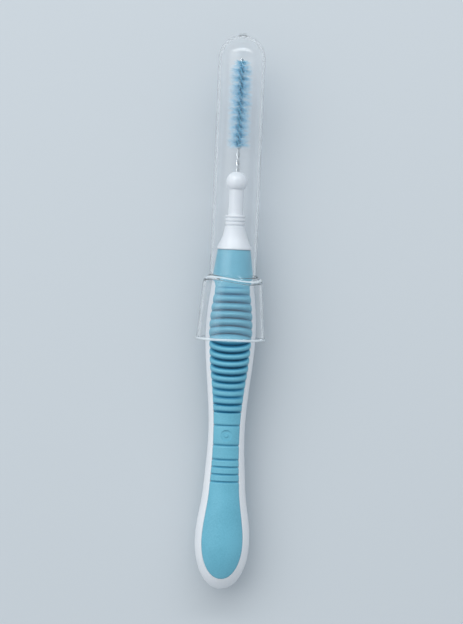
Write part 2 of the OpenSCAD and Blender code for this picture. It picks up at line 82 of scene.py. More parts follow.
# Grip
SKIN = 1.2
FLANK_STRIP, BUTT_STRIP, FLANK_ROUND, FLANK_TIP_ANGLE = 0.85, 1.15, 2.4, math.radians(4)
PAD_END_AT = 2.1
RIB_H = 1.1
LENS_AT, LENS_W = 44.5, 2.2
UPPER_PITCH, UPPER_RIBS = 1.36, 6
LOWER_PITCH, LOWER_RIBS = 1.31, 9
RIB_BOW, BOW_UP, BOW_DOWN = 0.95, 8.5, 14.0
LINE_DEPTH, LINE_W = 0.25, 0.5
GATE_AT, GATE_FRAME, GATE_D, GATE_DEPTH, GATE_STUB_D = 27.5, 3.5, 2.0, 0.2, 0.7
LINES_AT, LINE_PITCH, LINE_COUNT = 23.2, 1.3, 4
EDGE_SHARE, GRIP_ROLL, FLANK_ROLL = 0.22, 0.2, 0.06
MOULD_GAP = 0.02

# Wire and bristles
WIRE_D, TWIST_PITCH, WIRE_HELD = 0.32, 2.83, 11.0
STEM_LEN, HEAD_LEN, HEAD_D, HEAD_TAPER, TIP_LEN = 4.3, 15.1, 4.5, 1.6, 0.6
FILAMENT_D, FILAMENTS = 0.06, 800

# Cap
CAP_WALL, SEAT_GAP, DOME_ROOM, SKIRT_LEN = 0.5, 0.05, 3.5, 11.0
MOUTH_SIDE_ROOM, SKIRT_GAP = 1.1, 0.3
LEDGE_STEP, LEDGE_DROP, LEDGE_WAVE, LEDGE_ROUND = 1.15, 0.75, 0.35, 0.6
HUB_LIFT, HUB_RING = 0.1, 0.1
RIM_H, RIM_PROUD = 0.5, 0.14
NUB_D, NUB_H = 1.2, 0.3
SADDLE_TURN = math.radians(135)

# How shapes are made
RIB_POWER, RIB_ROUND, LINE_POWER = 2.0, 0.78, 1.2
RING_SHARES = (0.1, 0.25, 0.45, 0.6, 1.0)
COLLAR_CURVE_SHARE, CLOSED_SHARE, NECK_ROUND = 0.35, 0.96, 0.12
WIRE_HOLE_R, WIRE_HOLE_DEPTH = 0.39, 2 * WIRE_D
WEB_GAP = 0.1
LEAN_SIDE, LEAN_ALONG, TIP_THIN = 1.1, 0.26, 0.5
TIP_SHARE, RAGGED_SHARE, SEED = 0.45, 0.35, 7
CAP_ROUND, CAP_STEP, FLAT_ROUND = 0.22, 1.0, 0.35
LEDGE_CORNER_SHARE, LEDGE_INSIDE_SHARE, BEAD_CORNER_SHARE = 0.3, 0.4, 0.3
CUT_BACK_SHARE = 0.45
SPIN_STEPS = 96
MERGE_MM, NEARLY_STRAIGHT, SHARP = 1e-5, 0.985, math.radians(40)

# Where painted shade darkens the grooves, where the cap's edges get frost and a painted highlight, and how
# far the wire takes the filaments' colour and painted shade
SHADE_FROM, SHADE_TO, CAPPED_SHADE = 0.05, 0.42, 0.3
OPEN_FADE, CAPPED_FADE = 6, 2.2
LINE_SHADE, LINE_FADE = 0.55, 3.5
# Band of frost and painted highlight on the cap's edges: below and above the ledge's crest, and round the
# bead
FROST_HIGHLIGHT_BELOW, FROST_HIGHLIGHT_ABOVE, FROST_HIGHLIGHT_BEAD = 0.12, 0.14, 0.2
# Share of the filaments' colour and painted shade on the wire inside the head
FILAMENT_AND_SHADE_SHARE = 0.9

# Finishes
WHITE, WHITE_SHADE = (0.80, 0.83, 0.86, 1), (0.76, 0.80, 0.84, 1)
# The third cyan is painted shade for the grooves
CYAN, CYAN_SHADE, PAINTED_GROOVE_SHADE = (0.15, 0.47, 0.61, 1), (0.118, 0.40, 0.53, 1), (0.012, 0.19, 0.34, 1)
PATCH_FROM, PATCH_GAIN, SPECK_FROM, SPECK_GAIN = 0.35, 1.6, 0.45, 2.0
GRAIN_HEIGHT, RIPPLE_HEIGHT = 0.00002, 0.00001
# The first two are the bare wire; the third is the filaments' colour with painted shade, on the wire in the
# head
STEEL_LOW, STEEL_HIGH, FILAMENT_COLOUR_AND_SHADE = (0.50, 0.54, 0.56, 1), (0.74, 0.78, 0.80, 1), (0.03, 0.40, 0.60, 1)
DRAWN_STRETCH = (1, 0.15, 1)
# Nylon colour by reach from the wire, with painted shade that deepens it near the wire, where the filaments
# crowd
NYLON_AND_SHADE_STOPS = [
    (0.0, (0.03, 0.35, 0.56, 1)),
    (0.16, (0.04, 0.42, 0.64, 1)),
    (0.34, (0.25, 0.68, 0.90, 1)),
    (0.62, (0.42, 0.75, 0.93, 1)),
    (1.0, (0.60, 0.78, 0.88, 1)),
]
NYLON_PALE, PALE_SHARE = (0.55, 0.80, 0.95, 1), 0.2
CAP_TINT, CAP_SHADOW = (0.985, 0.99, 0.995, 1), (0.93, 0.94, 0.95, 1)
# Colours of the painted highlight on the cap's edges
EDGE_HIGHLIGHT_LOW, EDGE_HIGHLIGHT_HIGH = (0.84, 0.93, 0.98, 1), (0.93, 0.98, 1.0, 1)

# Studio
FLOOR_HALF, FLOOR_COLOUR = 2.0, (0.585, 0.635, 0.67, 1)
SKY_COLOUR, SKY_STRENGTH = (0.86, 0.91, 0.97, 1), 0.58
PANEL_MIDDLE, PANEL_GAIN = (0.5, 0.5, 0), 2.1
SENSOR_MM, CAMERA_HEIGHT, FILLED_SHARE, PHOTO_LEAN = 36.0, 0.5, 0.88, math.radians(2.4)
NEAR_CLIP, FAR_CLIP = 0.01, 20

# Stations of the lowest rib and of the cap's mouth, ledge and hub, and those above the seat
RIBS_AT = LENS_AT - LENS_W / 2 - LOWER_RIBS * LOWER_PITCH
MOUTH_AT = SEAT_AT - SKIRT_LEN
HUB_AT = SEAT_AT + HUB_LIFT + CAP_WALL
LEDGE_AT = HUB_AT - LEDGE_DROP
GRIP_TOP = SEAT_AT + SHOULDER_LEN
COLLAR_TOP = GRIP_TOP + COLLAR_RIM + COLLAR_LEN
RINGS_TOP = COLLAR_TOP + RING_COUNT * RING_PITCH
BALL_TOP = RINGS_TOP + NECK_LEN + BALL_LEN
BRISTLES_AT = BALL_TOP + STEM_LEN
TIP_AT = BRISTLES_AT + HEAD_LEN + TIP_LEN

# How the capped brush lies: the cap slides along the brush, so its axis gives the lean
SLIDE_AXIS = Vector(frame["joints"][0]["axis"])
LEAN = math.atan2(SLIDE_AXIS.z, SLIDE_AXIS.y)
REST_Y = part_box("handle_core")[0].y
REST_Z = BUTT_T / 2 * math.cos(LEAN) * MM - BUTT_AT * math.sin(LEAN) * MM
STANCE = Matrix.Translation((0, REST_Y, REST_Z)) @ Matrix.Rotation(LEAN, 4, "X") @ Matrix.Scale(MM, 4)
BRUSH_LENGTH = cad_box[1].y - cad_box[0].y


# Curves that the handle follows

def smooth_curve(table, s):
    """Value at station s of the smooth curve through a table of (station, value)."""
    rises = [(b[1] - a[1]) / (b[0] - a[0]) for a, b in zip(table, table[1:])]
    i = sum(s >= row[0] for row in table[1:-1])

    def slope(k):
        if k == 0:
            return 0.0
        if k == len(table) - 1:
            return rises[k - 1]
        a, b = rises[k - 1], rises[k]
        return 0.0 if a * b <= 0 else 2 * a * b / (a + b)

    h = table[i + 1][0] - table[i][0]
    u = min(1.0, max(0.0, (s - table[i][0]) / h))
    v = 1 - u
    ends = table[i][1] * v * v * (1 + 2 * u) + table[i + 1][1] * u * u * (1 + 2 * v)
    return ends + h * (slope(i) * u * v * v - slope(i + 1) * u * u * v)


WIDTHS = [
    (BUTT_AT, BUTT_W), (HAUNCH_AT, HAUNCH_W), (WAIST_AT, WAIST_W),
    (THUMB_AT, THUMB_W), (SEAT_AT, SEAT_D), (GRIP_TOP, SHOULDER_D),
]
DEPTHS = [
    (BUTT_AT, BUTT_T), (HAUNCH_AT, HAUNCH_T), (WAIST_AT, WAIST_T),
    (THUMB_AT, THUMB_T), (SEAT_AT, SEAT_D), (GRIP_TOP, SHOULDER_D),
]


def butt_round(s):
    """Share of the full section that is left at station s, where the butt rounds off."""
    if s >= BUTT_AT:
        return 1.0
    return (1 - ((BUTT_AT - s) / BUTT_AT) ** BUTT_POWER) ** (1 / BUTT_POWER)


def half_w(s):
    """Half width of the handle at station s."""
    return smooth_curve(WIDTHS, s) / 2 * butt_round(s)


def half_t(s):
    """Half thickness of the handle at station s."""
    return smooth_curve(DEPTHS, s) / 2 * butt_round(s)


def opening(s):
    """Half width of the grip's face at station s."""
    if s >= BUTT_AT:
        return half_w(s) - smooth_curve([(BUTT_AT, BUTT_STRIP), (WAIST_AT, FLANK_STRIP)], s)
    reach = max(0.0, 1 - ((BUTT_AT - s) / (BUTT_AT - PAD_END_AT)) ** PAD_POWER)
    return (BUTT_W / 2 - BUTT_STRIP) * reach ** (1 / PAD_POWER)


def flank_angle(s):
    """Angle, seen along the brush, at which the white flank gives way to the grip."""
    past = (s - SEAT_AT + FLANK_ROUND) / FLANK_ROUND
    fade = 1.0 if past <= 0 else math.sqrt(max(0.0, 1 - past * past))
    return max(FLANK_TIP_ANGLE, math.acos(min(1.0, opening(s) / half_w(s))) * fade)


def bow(s):
    """How far the ends of a rib rise above its middle."""
    side = min(1.0, max(-1.0, (s - LENS_AT) / (LENS_W / 2)))
    reach = BOW_UP if s > LENS_AT else BOW_DOWN
    return -RIB_BOW * side * max(0.0, 1 - abs(s - LENS_AT) / reach)


def on_section(s, angle, depth=0.0):
    """The point at an angle on the handle's section at station s, sunk by depth."""
    return Vector(((half_w(s) - depth) * math.cos(angle), s, (half_t(s) - depth) * math.sin(angle)))


# Ribs and lines of the grip

def segments():
    """The grip's segments from the butt up: start, end, crest height, and if a line cuts each end."""
    pad_top = LINES_AT - (LINE_COUNT - 1) * LINE_PITCH
    lens_high = LENS_AT + LENS_W / 2
    rising_shares = [0.25, 0.3, 0.35, 0.5, 0.75]
    falling_shares = [0.85, 0.5]
    rows = [PAD_END_AT + MOULD_GAP]
    rows += [pad_top + k * LINE_PITCH for k in range(LINE_COUNT)]
    rows += [GATE_AT - GATE_FRAME / 2, GATE_AT + GATE_FRAME / 2]
    plain = len(rows)
    rows += [RIBS_AT + k * LOWER_PITCH for k in range(LOWER_RIBS + 1)]
    rows += [lens_high + k * UPPER_PITCH for k in range(UPPER_RIBS + 1)]
    rows += [SEAT_AT + MOULD_GAP]
    ribs = LOWER_RIBS + 1 + UPPER_RIBS
    crests = [RIB_H] * ribs
    crests[:len(rising_shares)] = [RIB_H * share for share in rising_shares]
    crests[-len(falling_shares):] = [RIB_H * share for share in falling_shares]
    crests = [0.0] * plain + crests + [0.0]
    # Lines are cut from the top of the pad up to the foot of the second rib
    cut = [0 < k <= plain + 1 for k in range(len(rows))]
    return list(zip(rows, rows[1:], crests, cut, cut[1:]))


def skin_row(low, high, crest, cut_low, cut_high, t):
    """A row of the skin at share t of a segment: station, height, and how deep it lies in a groove."""
    s = low + (high - low) * t
    h = crest * max(0.0, 1 - abs(2 * t - 1) ** RIB_POWER) ** RIB_ROUND
    for cut, gap in ((cut_low, s - low), (cut_high, high - s)):
        if cut and gap < LINE_W / 2:
            h -= LINE_DEPTH * (1 - gap / (LINE_W / 2)) ** LINE_POWER
    deep = (crest - h) / (crest or LINE_DEPTH)
    return s, h, min(1.0, max(0.0, deep))


def skin_rows():
    """All rows of the skin, from the foot of the pad to just past the seat."""
    pad_steps, rib_steps = 60, 14
    rows = []
    for low, high, crest, cut_low, cut_high in segments():
        is_pad = high - low > 2 * GATE_FRAME
        steps = pad_steps if is_pad else rib_steps
        for i in range(steps):
            t = (1 - math.cos(math.pi * i / steps)) / 2
            rows.append(skin_row(low, high, crest, cut_low, cut_high, t))
    rows.append((SEAT_AT + 4 * MOULD_GAP, 0.0, 0.0))
    return rows


SKIN_ROWS = skin_rows()


def edge_roll(distance, radius):
    """How far a rounded edge has dropped at this distance from the edge."""
    if distance >= radius:
        return 0.0
    return radius - math.sqrt(max(0.0, radius ** 2 - (radius - distance) ** 2))


# Making meshes

def tube_body(bm, around, rows, place):
    """A tube whose vertices place(column, row) puts on a surface, closed at its seam and at both ends."""
    made = bmesh.ops.create_grid(bm, x_segments=around, y_segments=rows, size=0.5)["verts"]
    for v in made:
        v.co = place(round((v.co.x + 0.5) * around) % around, round((v.co.y + 0.5) * rows))
    bmesh.ops.remove_doubles(bm, verts=made, dist=MERGE_MM)
    rims = [e for e in bm.edges if e.is_boundary]
    bmesh.ops.holes_fill(bm, edges=rims)


def spun_body(bm, outline, steps):
    """A round solid about the brush's axis, from an outline of (radius, station)."""
    verts = [bm.verts.new((r, s, 0)) for r, s in outline]
    edges = [bm.edges.new(pair) for pair in zip(verts, verts[1:])]
    bmesh.ops.spin(
        bm, geom=verts + edges, cent=(0, 0, 0), axis=(0, 1, 0), angle=2 * math.pi, steps=steps, use_merge=True
    )
    bmesh.ops.remove_doubles(bm, verts=bm.verts[:], dist=MERGE_MM)


def rounded(outline, radius, steps=3):
    """The points of an outline, with its corners rounded."""
    points = [Vector(p) for p in outline]
    made = [points[0]]
    for before, corner, after in zip(points, points[1:], points[2:]):
        back, on = before - corner, after - corner
        if back.dot(on) < -NEARLY_STRAIGHT * back.length * on.length:
            made.append(corner)
            continue
        cut = min(radius, back.length * CUT_BACK_SHARE, on.length * CUT_BACK_SHARE)
        start, end = corner + back.normalized() * cut, corner + on.normalized() * cut
        for i in range(steps + 1):
            t = i / steps
            made.append(start.lerp(corner, t).lerp(corner.lerp(end, t), t))
    return made + [points[-1]]


def joined(bm, other):
    """Adds another bmesh's faces to bm."""
    part = bpy.data.meshes.new("part")
    other.to_mesh(part)
    other.free()
    bm.from_mesh(part)
    bpy.data.meshes.remove(part)


def add_piece(name, mesh, material, body, node):
    """Lays a mesh down on the surface, as a piece that rides on a body and stands for a CAD node."""
    mesh.transform(STANCE)
    mesh.shade_smooth()
    mesh.set_sharp_from_angle(angle=SHARP)
    mesh.materials.append(material)
    piece = bpy.data.objects.new(name, mesh)
    bpy.context.scene.collection.objects.link(piece)
    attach(piece, body)
    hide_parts(node)


def solid_mesh(name, bm):
    """A mesh of the bmesh, with its faces pointing outwards."""
    bmesh.ops.recalc_face_normals(bm, faces=bm.faces[:])
    mesh = bpy.data.meshes.new(name)
    bm.to_mesh(mesh)
    bm.free()
    return mesh


def strands_mesh(name, lines, diameter, resolution):
    """Round strands with closed ends along lines of (point, share of the diameter)."""
    curve = bpy.data.curves.new(name, "CURVE")
    curve.dimensions = "3D"
    curve.bevel_depth = diameter / 2
    curve.bevel_resolution = resolution
    curve.use_fill_caps = True
    for line in lines:
        spline = curve.splines.new("POLY")
        spline.points.add(len(line) - 1)
        for point, (place, share) in zip(spline.points, line):
            point.co = (*place, 1)
            point.radius = share
    drawn = bpy.data.objects.new(name, curve)
    mesh = bpy.data.meshes.new_from_object(drawn)
    bpy.data.objects.remove(drawn)
    bpy.data.curves.remove(curve)
    bm = bmesh.new()
    bm.from_mesh(mesh)
    bmesh.ops.remove_doubles(bm, verts=bm.verts[:], dist=MERGE_MM)
    bpy.data.meshes.remove(mesh)
    return solid_mesh(name, bm)


# White core

def core_body(bm):
    """Butt, flanks, and the floors that the grip lies on."""
    flank_points, floor_points, end_steps = 34, 14, 16
    half_turn = flank_points + floor_points
    ends = [PAD_END_AT * (1 - math.cos(math.pi / 2 * i / end_steps)) for i in range(end_steps + 1)]
    rows = [(s, 0.0) for s in ends] + [(s, SKIN) for s, _, _ in SKIN_ROWS]

    def place(column, row):
        s, depth = rows[row]
        half, k = divmod(column, half_turn)
        turn = half * math.pi
        at = s + (bow(s) if depth else 0.0)
        f = flank_angle(at) if depth else math.pi / 2 * CLOSED_SHARE
        if k < flank_points:
            share = 2 * k / (flank_points - 1) - 1
            spread = (share + math.sin(math.pi / 2 * share)) / 2
            to_edge = (1 - abs(spread)) * f * half_w(at)
            return on_section(at, turn + f * spread, edge_roll(to_edge, FLANK_ROLL) if depth else 0.0)
        share = (k - flank_points) / (floor_points - 1)
        at = s + bow(s) * (2 * share - 1) ** 2 if depth else s
        return on_section(at, turn + f + (math.pi - 2 * f) * share, depth)

    tube_body(bm, 2 * half_turn, len(rows) - 1, place)


def neck_outline():
    """The collar, rings, neck and ball, from inside the grip to the hole that the wire stands in."""
    collar_steps, ball_steps = 12, 24
    root_r = COLLAR_D / 2 - SKIN
    outline = [(0, GRIP_TOP - SKIN), (root_r, GRIP_TOP - SKIN), (root_r, GRIP_TOP)]
    outline += [(COLLAR_D / 2, GRIP_TOP), (COLLAR_D / 2, GRIP_TOP + COLLAR_RIM)]
    for i in range(1, collar_steps + 1):
        u = i / collar_steps
        swell = u + COLLAR_CURVE_SHARE * math.sin(math.pi * u) / 2
        outline.append((
            COLLAR_D / 2 + (RING_D - COLLAR_D) / 2 * swell, GRIP_TOP + COLLAR_RIM + COLLAR_LEN * u
        ))
    for k in range(RING_COUNT):
        foot = COLLAR_TOP + k * RING_PITCH
        for depth, share in zip((0, RING_GROOVE, RING_GROOVE, 0, 0), RING_SHARES):
            outline.append((RING_D / 2 - depth, foot + share * RING_PITCH))
    centre, foot = BALL_TOP - BALL_D / 2, BALL_TOP - BALL_LEN
    low = math.asin((foot - centre) / (BALL_D / 2))
    high = math.acos(WIRE_HOLE_R / (BALL_D / 2))
    outline += [(NECK_D / 2, RINGS_TOP), (NECK_D / 2, foot - BALL_FILLET), (NECK_D / 2 + BALL_FILLET, foot)]
    for i in range(ball_steps + 1):
        a = low + (high - low) * i / ball_steps
        outline.append((BALL_D / 2 * math.cos(a), centre + BALL_D / 2 * math.sin(a)))
    return outline + [(WIRE_HOLE_R, BALL_TOP - WIRE_HOLE_DEPTH), (0, BALL_TOP - WIRE_HOLE_DEPTH)]


def core_moulding(material):
    """The white core and its neck, as one piece."""
    bm, neck = bmesh.new(), bmesh.new()
    core_body(bm)
    spun_body(neck, rounded(neck_outline(), NECK_ROUND), SPIN_STEPS)
    joined(bm, neck)
    mesh = solid_mesh("core_moulding", bm)
    add_piece("core_moulding", mesh, material, "handle", "handle_core")


# Soft grip

def groove_shade(s, c, deep):
    """Painted shade in a groove at station s and share c of the half width: less in the lines and under the
    cap.
    """
    u = min(1.0, max(0.0, (deep - SHADE_FROM) / (SHADE_TO - SHADE_FROM)))
    eased = u * u * (3 - 2 * u)
    if s < RIBS_AT - LINE_W:
        return eased * LINE_SHADE * (1 - abs(c) ** LINE_FADE)
    if s < MOUTH_AT:
        return eased * (1 - abs(c) ** OPEN_FADE)
    up = (s - MOUTH_AT) / SKIRT_LEN
    return eased * (CAPPED_SHADE + (1 - CAPPED_SHADE) * up * up) * (1 - abs(c) ** CAPPED_FADE)


def grip_face(bm):
    """One ribbed face of the grip, closed by its inner side."""
    outer, inner = 46, 12
    groove = bm.verts.layers.float.new("groove")
    # Painted groove shade is kept by place, because closing the face merges and renumbers its vertices
    shades = {}

    def place(column, row):
        s, h, deep = SKIN_ROWS[row]
        under = column > outer
        share = (column - outer - 1) / (inner - 1) if under else column / outer
        c = (1 - 2 * share) if under else math.sin(math.pi / 2 * (2 * share - 1))
        at = s + bow(s) * c * c
        end_at = s + bow(s)
        f = flank_angle(end_at) + MOULD_GAP / half_w(end_at)
        angle = math.pi / 2 - (math.pi / 2 - f) * c
        if under:
            return on_section(at, angle, SKIN - MOULD_GAP)
        to_edge = (1 - abs(c)) * (math.pi / 2 - f) * half_w(at)
        fade = 1 - (1 - EDGE_SHARE) * abs(c) ** EDGE_POWER
        roll = edge_roll(min(to_edge, s - PAD_END_AT), GRIP_ROLL)
        point = on_section(at, angle, roll - (h * fade if h > 0 else h))
        shades[tuple(point)] = groove_shade(s, c, deep)
        return point

    tube_body(bm, outer + 1 + inner, len(SKIN_ROWS) - 1, place)
    for v in bm.verts:
        v[groove] = shades.get(tuple(v.co), 0.0)


def grip_shoulder(bm):
    """The round sleeve above the seat."""
    steps = 24
    bottom, top = SEAT_AT + MOULD_GAP, GRIP_TOP - MOULD_GAP
    inner_r = SEAT_D / 2 - SKIN
    side = [bottom + (top - bottom) * i / steps for i in range(steps + 1)]
    outline = [(inner_r, bottom)] + [(half_w(s), s) for s in side] + [(inner_r, top), (inner_r, bottom)]
    spun_body(bm, rounded(outline, GRIP_ROLL), SPIN_STEPS)


def gate_cutter():
    """The round pocket of the gate, with room for its stub."""
    stub_taper, corner, steps = 0.08, 0.05, 64
    stub_below_share = 0.2
    floor = half_t(GATE_AT) - GATE_DEPTH
    top = half_t(GATE_AT) + SKIN
    stub_top = half_t(GATE_AT) - GATE_DEPTH * stub_below_share
    bm = bmesh.new()
    outline = [
        (0, stub_top), (GATE_STUB_D / 2 - stub_taper, stub_top), (GATE_STUB_D / 2, floor),
        (GATE_D / 2 - corner, floor), (GATE_D / 2, floor + corner), (GATE_D / 2 + corner, top), (0, top),
    ]
    spun_body(bm, outline, steps)
    bm.transform(Matrix.Translation((0, GATE_AT, 0)) @ Matrix.Rotation(math.pi / 2, 4, "X"))
    return bpy.data.objects.new("gate_cutter", solid_mesh("gate_cutter", bm))


def cut_out(mesh, cutter):
    """The mesh with the cutter's shape taken out of it."""
    whole = bpy.data.objects.new("whole", mesh)
    for o in (whole, cutter):
        bpy.context.scene.collection.objects.link(o)
    cut = whole.modifiers.new("cut", "BOOLEAN")
    cut.operation = "DIFFERENCE"
    cut.solver = "EXACT"
    cut.object = cutter
    bpy.context.view_layer.update()
    made = bpy.data.meshes.new_from_object(whole.evaluated_get(bpy.context.evaluated_depsgraph_get()))
    for o in (whole, cutter):
        data = o.data
        bpy.data.objects.remove(o)
        bpy.data.meshes.remove(data)
    made.materials.clear()
    return made


def soft_grip(material):
    """Two ribbed faces and the shoulder, with the gate's pocket in the front face alone."""
    bm = bmesh.new()
    grip_face(bm)
    front = cut_out(solid_mesh("front", bm), gate_cutter())
    bm = bmesh.new()
    grip_face(bm)
    bm.transform(Matrix.Rotation(math.pi, 4, "Y"))
    shoulder = bmesh.new()
    grip_shoulder(shoulder)
    joined(bm, shoulder)
    bmesh.ops.recalc_face_normals(bm, faces=bm.faces[:])
    bm.from_mesh(front)
    bpy.data.meshes.remove(front)
    mesh = bpy.data.meshes.new("grip_skin")
    bm.to_mesh(mesh)
    bm.free()
    add_piece("grip_skin", mesh, material, "handle", "soft_grip")


# Wire and filaments

def twist(s):
    """How far the wire has turned at station s."""
    return 2 * math.pi * (s - BRISTLES_AT) / TWIST_PITCH


def off_axis(s, r, turn):
    """The point at radius r beside the axis, which the twist carries round."""
    return Vector((r * math.cos(twist(s) + turn), s, r * math.sin(twist(s) + turn)))


def hairpin_wire(material):
    """One wire, folded at the tip, with its two strands twisted round each other."""
    rings_a_turn, turn_rings, roundness = 22, 12, 4
    place_r = WIRE_D / 2 + WEB_GAP / 2
    root, top = BALL_TOP - WIRE_HELD, TIP_AT - place_r - WIRE_D / 2
    count = math.ceil((top - root) / TWIST_PITCH * rings_a_turn)
    stations = [root + (top - root) * i / count for i in range(count + 1)]
    line = [off_axis(s, place_r, 0) for s in stations]
    for k in range(1, turn_rings):
        a = math.pi * k / turn_rings
        line.append(off_axis(top, place_r * math.cos(a), 0) + Vector((0, place_r * math.sin(a), 0)))
    line += [off_axis(s, place_r, math.pi) for s in reversed(stations)]
    mesh = strands_mesh("hairpin_wire", [[(point, 1) for point in line]], WIRE_D, roundness)
    # How much of the filaments' colour and painted shade the wire takes, inside the head
    head = mesh.attributes.new("head", "FLOAT", "POINT")
    for v, value in zip(mesh.vertices, head.data):
        inside = min(v.co.y - BRISTLES_AT, BRISTLES_AT + HEAD_LEN - v.co.y)
        value.value = FILAMENT_AND_SHADE_SHARE * min(1.0, max(0.0, 0.5 + inside / WIRE_D))
    add_piece("hairpin_wire", mesh, material, "handle", "twisted_wire")


def filament(s, reaches, draw):
    """One filament, from tip to tip through the wire, each half curving a little its own way."""
    steps = 5
    root = Vector((0, s, 0))
    shares = [i / steps for i in range(1, steps + 1)]
    halves = []
    for turn, reach in zip((math.pi / 2, -math.pi / 2), reaches):
        out = off_axis(s, 1, turn) - root
        sideways = Vector((-out.z, 0, out.x)) * draw.gauss(0, LEAN_SIDE)
        lean = sideways + Vector((0, draw.gauss(0, LEAN_ALONG), 0))
        half = []
        for u in shares:
            half.append((root + (out + lean * u).normalized() * reach * u, 1 - TIP_THIN * u * u))
        halves.append(half)
    return halves[0][::-1] + [(root, 1)] + halves[1]


def filaments(material):
    """All the filaments, a little ragged, and shorter towards the tip."""
    draw = random.Random(SEED)
    lines = []
    for k in range(FILAMENTS):
        s = BRISTLES_AT + HEAD_LEN * (k + 0.5) / FILAMENTS
        left = BRISTLES_AT + HEAD_LEN - s
        taper = 1 - TIP_SHARE * (1 - left / HEAD_TAPER) ** 2 if left < HEAD_TAPER else 1
        reaches = [HEAD_D / 2 * taper * (1 - RAGGED_SHARE * draw.random() ** 2) for _ in range(2)]
        lines.append(filament(s, reaches, draw))
    mesh = strands_mesh("filaments", lines, FILAMENT_D, 0)
    reach = mesh.attributes.new("reach", "FLOAT", "POINT")
    for v, value in zip(mesh.vertices, reach.data):
        value.value = math.hypot(v.co.x, v.co.z) / (HEAD_D / 2)
    add_piece("filaments", mesh, material, "handle", "bristles")


# Cap

def cap_stops():
    """Stops along the wall, outside then inside: station, radius, distance of the flats, share of wave."""
    dome_steps = 20
    bore = SEAT_D / 2 + SEAT_GAP
    barrel = bore + CAP_WALL
    dome = TIP_AT + DOME_ROOM - bore
    mouth_r = THUMB_W / 2 + MOUTH_SIDE_ROOM + CAP_WALL
    mouth_flat = THUMB_T / 2 + RIB_H + SKIRT_GAP + CAP_WALL
    ledge_r = bore + LEDGE_STEP + CAP_WALL
    ledge_flat = SEAT_D / 2 + RIB_H / 2 + SKIRT_GAP + CAP_WALL
    out, bead = LEDGE_ROUND * LEDGE_CORNER_SHARE, RIM_H * BEAD_CORNER_SHARE
    nub_r = NUB_D / 2

    def dome_arc(r, start):
        return [
            (dome + r * math.sin(a), r * math.cos(a), r * math.cos(a), 0)
            for a in (start * (1 - i / dome_steps) for i in range(dome_steps + 1))
        ]

    def wall(station, r, flat, wave, inset=0.0):
        return (station, r - inset, flat - inset, wave)

    middle = (LEDGE_AT + MOUTH_AT) / 2, (ledge_r + mouth_r) / 2, (ledge_flat + mouth_flat) / 2
    outside = [(dome + barrel + NUB_H, 0, 0, 0), (dome + barrel + NUB_H, nub_r, nub_r, 0)]
    outside += dome_arc(barrel, math.acos(nub_r / barrel))
    outside += [
        wall(HUB_AT, barrel, barrel, 0),
        wall(HUB_AT, barrel + HUB_RING, barrel + HUB_RING, 0),
        wall(LEDGE_AT + out, ledge_r - LEDGE_ROUND, ledge_flat - LEDGE_ROUND, 1),
        wall(LEDGE_AT, ledge_r - out, ledge_flat - out, 1),
        wall(LEDGE_AT - LEDGE_ROUND, ledge_r, ledge_flat, 1),
        wall(*middle, 0),
        wall(MOUTH_AT + RIM_H, mouth_r, mouth_flat, 0),
        wall(MOUTH_AT + RIM_H - bead, mouth_r + RIM_PROUD, mouth_flat + RIM_PROUD, 0),
        wall(MOUTH_AT + bead, mouth_r + RIM_PROUD, mouth_flat + RIM_PROUD, 0),
        wall(MOUTH_AT, mouth_r, mouth_flat, 0),
    ]
    inside = [
        wall(MOUTH_AT, mouth_r, mouth_flat, 0, CAP_WALL),
        wall(*middle, 0, CAP_WALL),
        wall(LEDGE_AT - LEDGE_ROUND, ledge_r, ledge_flat, 1, CAP_WALL),
        wall(LEDGE_AT - CAP_WALL, ledge_r, ledge_flat, 1, CAP_WALL + LEDGE_ROUND * LEDGE_INSIDE_SHARE),
        wall(HUB_AT - CAP_WALL, barrel, barrel, 0),
        wall(SEAT_AT, barrel, barrel, 0),
        wall(SEAT_AT, bore, bore, 0),
    ]
    return outside + inside + list(reversed(dome_arc(bore, math.pi / 2)))


def ledge_rise(angle):
    """How far the wavy ledge stands above its mean at an angle round the cap."""
    return LEDGE_WAVE * math.cos(2 * (angle - SADDLE_TURN))


def flattened(z, flat, soft):
    """Height z held within a flat on either side, with a rounded start where the flat begins."""
    over = abs(z) - flat
    if over <= -soft:
        return z
    drop = over if over >= soft else (over + soft) ** 2 / (4 * soft)
    return math.copysign(abs(z) - drop, z)


def frost_and_highlight_edges(mesh):
    """Gives the crest of the ledge and the bead of the mouth the cap's second finish: frost, with a painted
    highlight.
    """
    for face in mesh.polygons:
        middle = face.center
        crest = LEDGE_AT + ledge_rise(math.atan2(middle.z, middle.x))
        outside = face.normal.dot(Vector((middle.x, 0, middle.z))) > 0
        on_ledge = -FROST_HIGHLIGHT_BELOW < middle.y - crest < FROST_HIGHLIGHT_ABOVE
        on_bead = abs(middle.y - MOUTH_AT - RIM_H / 2) < FROST_HIGHLIGHT_BEAD
        face.material_index = int(outside and (on_ledge or on_bead))


def travel_cap(clear, frost_and_highlight):
    """The cap, one closed wall from the dome round the mouth and back, in two finishes: clear, and frost with
    a painted highlight on its edges.
    """
    around, corner_steps = 144, 4
    stops = rounded(cap_stops(), CAP_ROUND, corner_steps)
    profile = [stops[0]]
    for a, b in zip(stops, stops[1:]):
        pieces = max(1, math.ceil((b - a).length / CAP_STEP))
        profile += [a.lerp(b, i / pieces) for i in range(1, pieces + 1)]

    def place(column, row):
        s, r, flat, wave = profile[row]
        a = 2 * math.pi * column / around
        z = flattened(r * math.sin(a), flat, min(FLAT_ROUND, r - flat))
        return Vector((r * math.cos(a), s + wave * ledge_rise(a), z))

    bm = bmesh.new()
    tube_body(bm, around, len(profile) - 1, place)
    mesh = solid_mesh("travel_cap", bm)
    frost_and_highlight_edges(mesh)
    add_piece("travel_cap", mesh, clear, "cap", "cap")
    mesh.materials.append(frost_and_highlight)


# Materials

